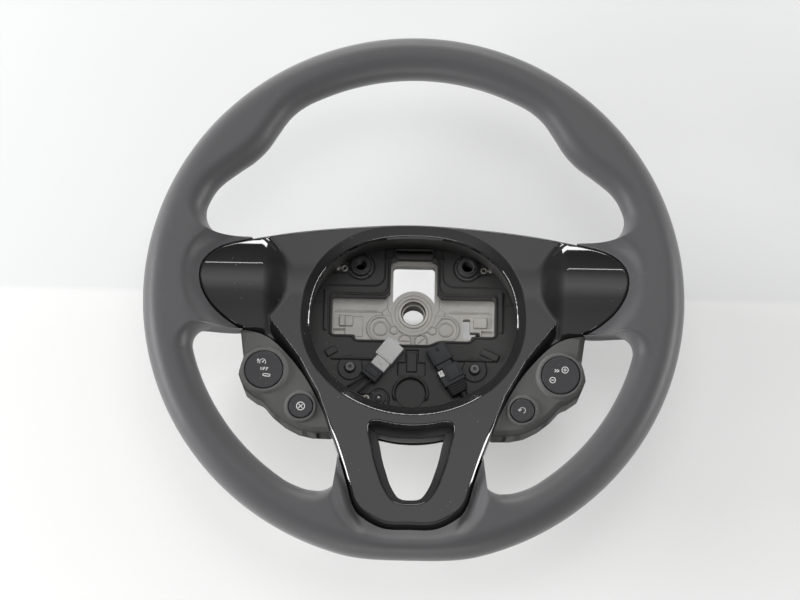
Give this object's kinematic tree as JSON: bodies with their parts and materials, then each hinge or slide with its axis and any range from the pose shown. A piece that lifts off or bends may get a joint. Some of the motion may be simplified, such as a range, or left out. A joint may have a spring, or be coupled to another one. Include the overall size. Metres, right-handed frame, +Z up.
{
  "type": "car steering wheel",
  "caption": "Three-spoke car steering wheel with its airbag module out: foam rim with thumb rests, gloss spoke trim, switch pods and an open hub well.",
  "frame": {"origin": "on the column axis, in the middle of the smooth stretch of the column bore", "axes": "+X to the driver's right, +Y down the column away from the driver, +Z up with the wheel straight ahead"},
  "size_m": [0.37, 0.0973, 0.3676],
  "materials": {
    "grip_foam": "matt grained polyurethane foam",
    "cast_alloy": "as-cast magnesium",
    "steel": "turned",
    "gloss_black": "polished piano black",
    "well_plastic": "moulded, fine grain",
    "liner_plastic": "satin",
    "cover_plastic": "coarse grain",
    "pod_plastic": "soft-touch paint",
    "key_plastic": "satin with white prints",
    "bush_plastic": "satin",
    "spring_wire": "drawn",
    "tinned_brass": "tinned",
    "white_plastic": "satin nylon",
    "plug_plastic": "satin nylon",
    "lead_rubber": "matt",
    "black_screw": "black zinc"
  },
  "bodies": {
    "wheel": {"rim_grip": "grip_foam", "armature": "cast_alloy", "hub_bushing": "steel", "wing_trim": "gloss_black", "lower_spoke_trim": "gloss_black", "loop_liner": "liner_plastic", "airbag_carrier": "well_plastic", "rear_cover": "cover_plastic", "left_bush": "bush_plastic", "right_bush": "bush_plastic", "lower_bush": "bush_plastic", "left_bush_spring": "spring_wire", "right_bush_spring": "spring_wire", "lower_pin": "steel", "left_horn_contact": "tinned_brass", "right_horn_contact": "tinned_brass", "lower_horn_contact": "tinned_brass", "left_switch_housing": "pod_plastic", "right_switch_housing": "pod_plastic", "horn_plug": "white_plastic", "horn_plug_sleeve": "plug_plastic", "switch_socket": "plug_plastic", "switch_plug": "plug_plastic", "plug_lock_tab": "white_plastic", "switch_boot": "lead_rubber", "horn_lead_a": "lead_rubber", "horn_lead_b": "lead_rubber", "switch_lead": "lead_rubber", "carrier_screws": "black_screw", "cover_screws": "black_screw"},
    "mode_key": {"mode_rocker": "key_plastic"},
    "cancel_key": {"cancel_button": "key_plastic"},
    "set_key": {"set_rocker": "key_plastic"},
    "resume_key": {"resume_button": "key_plastic"}
  },
  "joints": [
    {"name": "mode_rock", "type": "hinge", "parent": "wheel", "child": "mode_key", "pos_m": [-0.1005, -0.06, -0.0554], "axis": [0.9511, 0, 0.309], "range_deg": [-5, 5], "stiffness_Nm_per_rad": 0.15},
    {"name": "set_rock", "type": "hinge", "parent": "wheel", "child": "set_key", "pos_m": [0.1005, -0.06, -0.0554], "axis": [0.6428, 0, -0.766], "range_deg": [-5, 5], "stiffness_Nm_per_rad": 0.15},
    {"name": "cancel_press", "type": "slide", "parent": "wheel", "child": "cancel_key", "axis": [0, 1, 0], "range_m": [0, 0.0015], "stiffness_N_per_m": 500, "springref_m": -0.0008},
    {"name": "resume_press", "type": "slide", "parent": "wheel", "child": "resume_key", "axis": [0, 1, 0], "range_m": [0, 0.0015], "stiffness_N_per_m": 500, "springref_m": -0.0008}
  ]
}
